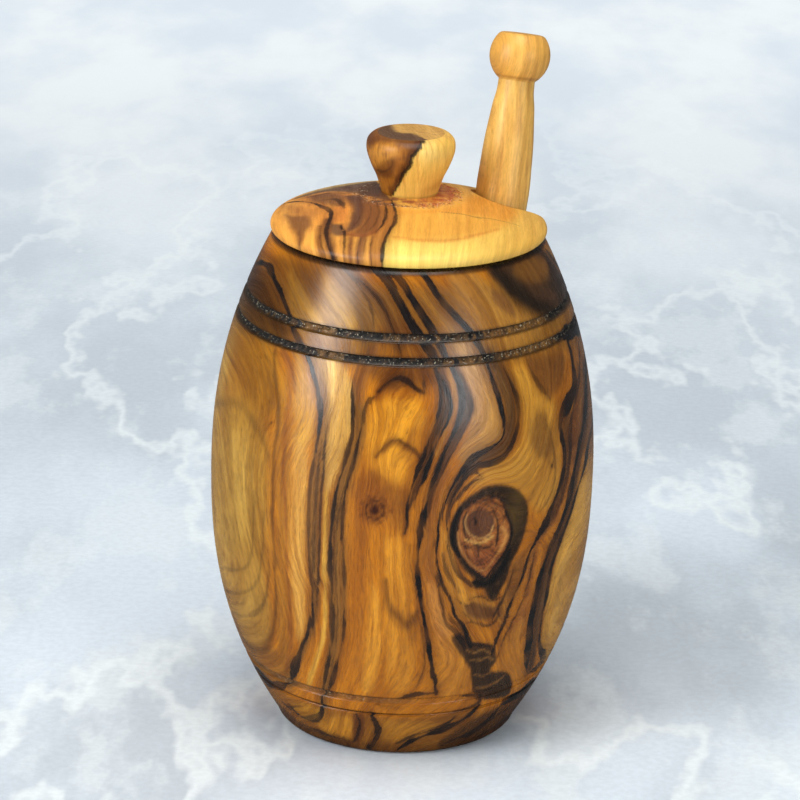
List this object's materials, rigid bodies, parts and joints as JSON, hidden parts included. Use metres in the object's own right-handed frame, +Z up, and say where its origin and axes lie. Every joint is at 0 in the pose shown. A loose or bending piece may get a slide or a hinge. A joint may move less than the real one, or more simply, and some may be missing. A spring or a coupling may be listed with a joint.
{
  "type": "honey pot with lid and dipper",
  "caption": "Turned wooden barrel-shaped honey pot with a lift-off knobbed lid and a honey dipper that stands in a notch in the lid.",
  "frame": {"origin": "centre of the pot's flat foot, on the surface that it stands on", "axes": "+Z up along the pot's turning axis, -Y towards the side that the picture shows, +X to the right of it"},
  "size_m": [0.09, 0.09, 0.1638],
  "materials": {
    "pot_olive_wood": "oiled, dark streaks in amber wood, soft gloss",
    "lid_olive_wood": "oiled, pale sapwood on one side and dark streaks on the other, soft gloss",
    "dipper_olive_wood": "pale, straight-grained, lightly oiled"
  },
  "bodies": {
    "pot": {"pot_body": "pot_olive_wood"},
    "lid": {"lid": "lid_olive_wood"},
    "dipper": {"dipper": "dipper_olive_wood"}
  },
  "joints": [
    {"name": "lid_lift", "type": "slide", "parent": "pot", "child": "lid", "axis": [0.096, 0.1806, 0.9789], "range_m": [0, 0.06]},
    {"name": "dipper_draw", "type": "slide", "parent": "pot", "child": "dipper", "axis": [0.096, 0.1806, 0.9789], "range_m": [0, 0.065]}
  ]
}
